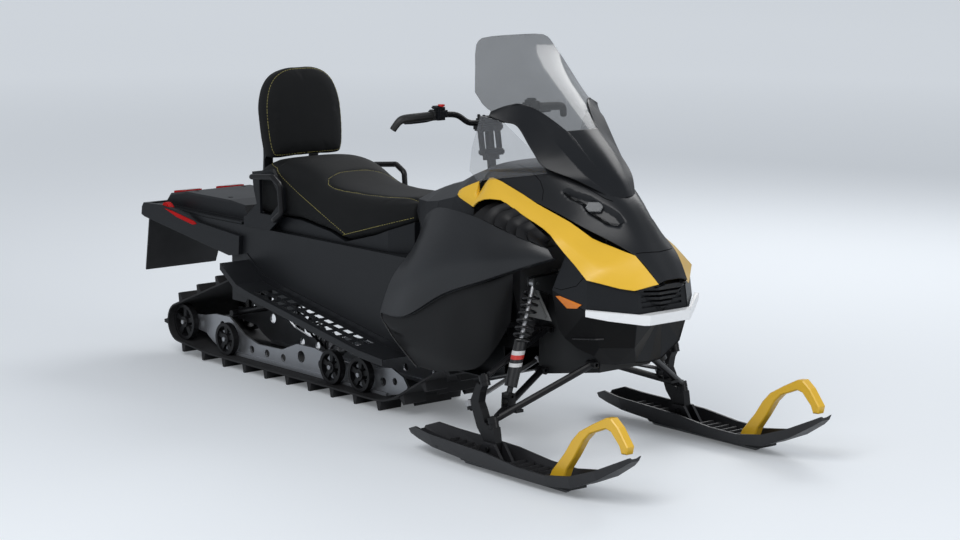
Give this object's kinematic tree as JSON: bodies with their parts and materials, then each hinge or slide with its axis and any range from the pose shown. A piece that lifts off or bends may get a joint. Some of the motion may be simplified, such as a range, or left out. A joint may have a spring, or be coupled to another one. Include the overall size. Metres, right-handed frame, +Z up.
{
  "type": "snowmobile",
  "caption": "Two-up snowmobile with steered skis on wishbone arms, a lugged track on slide rails under a tunnel, long seat with backrest and a tall smoked screen.",
  "frame": {"origin": "on the ground plane under the middle of the bounding box, midway between the skis", "axes": "+X forward towards the ski tips, +Y to the rider's left, +Z up"},
  "size_m": [3.265, 1.04, 1.417],
  "materials": {
    "track_rubber": "matte",
    "rail_aluminium": "satin",
    "wheel_plastic": "satin",
    "steel": "satin",
    "spring_black": "gloss",
    "frame_black": "satin",
    "tunnel_black": "satin",
    "body_black": "satin",
    "flap_rubber": "matte",
    "upholstery": "matte",
    "engine_metal": "matte",
    "bulkhead_grey": "satin",
    "accent_yellow": "satin",
    "lamp": "clear",
    "bumper_silver": "satin",
    "marker_amber": "gloss",
    "smoked_screen": "smoked",
    "grip_rubber": "matte",
    "ski_plastic": "satin"
  },
  "bodies": {
    "chassis": {"track": "track_rubber", "slide_rails": "rail_aluminium", "idler_wheels": "wheel_plastic", "idler_axles": "steel", "skid_damper": "steel", "skid_spring": "spring_black", "swing_arms": "frame_black", "drive_axle": "steel", "tunnel": "tunnel_black", "running_boards": "tunnel_black", "rear_bumper": "body_black", "snow_flap": "flap_rubber", "cargo_deck": "body_black", "tow_hitch": "frame_black", "seat_cushion": "upholstery", "seat_base": "body_black", "backrest_pad": "upholstery", "backrest_bracket": "body_black", "grab_handles": "frame_black", "fuel_tank": "body_black", "console": "body_black", "engine_cradle": "frame_black", "engine_block": "engine_metal", "belly_pan": "body_black", "bulkhead": "bulkhead_grey", "hood": "body_black", "accent_panels": "accent_yellow", "nose_panels": "body_black", "belly_shell": "body_black", "side_panels": "body_black", "side_vents": "body_black", "headlamps": "lamp", "front_grille": "body_black", "front_bumper": "bumper_silver", "side_markers": "marker_amber", "windshield": "smoked_screen", "windshield_base": "body_black", "side_deflectors": "smoked_screen", "upper_arms": "frame_black", "lower_arms": "frame_black", "front_shocks": "steel", "front_springs": "spring_black"},
    "steering": {"handlebar": "frame_black", "handlebar_grips": "grip_rubber", "handlebar_controls": "body_black"},
    "right_ski": {"ski_right": "ski_plastic", "ski_handle_right": "accent_yellow", "ski_runner_right": "steel", "spindle_right": "frame_black"},
    "left_ski": {"ski_left": "ski_plastic", "ski_handle_left": "accent_yellow", "ski_runner_left": "steel", "spindle_left": "frame_black"},
    "right_tie_rod": {"tie_rod_right": "steel"},
    "left_tie_rod": {"tie_rod_left": "steel"}
  },
  "joints": [
    {"name": "handlebar_turn", "type": "hinge", "parent": "chassis", "child": "steering", "pos_m": [0.419, 0, 0.95], "axis": [-0.1346, 0, 0.9909], "range_deg": [-30, 30]},
    {"name": "right_ski_turn", "type": "hinge", "parent": "chassis", "child": "right_ski", "pos_m": [0.951, -0.445, 0.171], "axis": [-0.3162, 0, 0.9487], "range_deg": [-25.5, 25.5]},
    {"name": "left_ski_turn", "type": "hinge", "parent": "chassis", "child": "left_ski", "pos_m": [0.951, 0.445, 0.171], "axis": [-0.3162, 0, 0.9487], "range_deg": [-25.5, 25.5]},
    {"name": "right_tie_rod_turn", "type": "hinge", "parent": "right_ski", "child": "right_tie_rod", "pos_m": [0.832, -0.445, 0.211], "axis": [-0.3162, 0, 0.9487], "range_deg": [-25.5, 25.5]},
    {"name": "left_tie_rod_turn", "type": "hinge", "parent": "left_ski", "child": "left_tie_rod", "pos_m": [0.832, 0.445, 0.211], "axis": [-0.3162, 0, 0.9487], "range_deg": [-25.5, 25.5]}
  ],
  "couplings": [
    {"joint": "right_ski_turn", "follows": "handlebar_turn", "ratio": 0.85},
    {"joint": "left_ski_turn", "follows": "handlebar_turn", "ratio": 0.85},
    {"joint": "right_tie_rod_turn", "follows": "handlebar_turn", "ratio": -0.85},
    {"joint": "left_tie_rod_turn", "follows": "handlebar_turn", "ratio": -0.85}
  ]
}
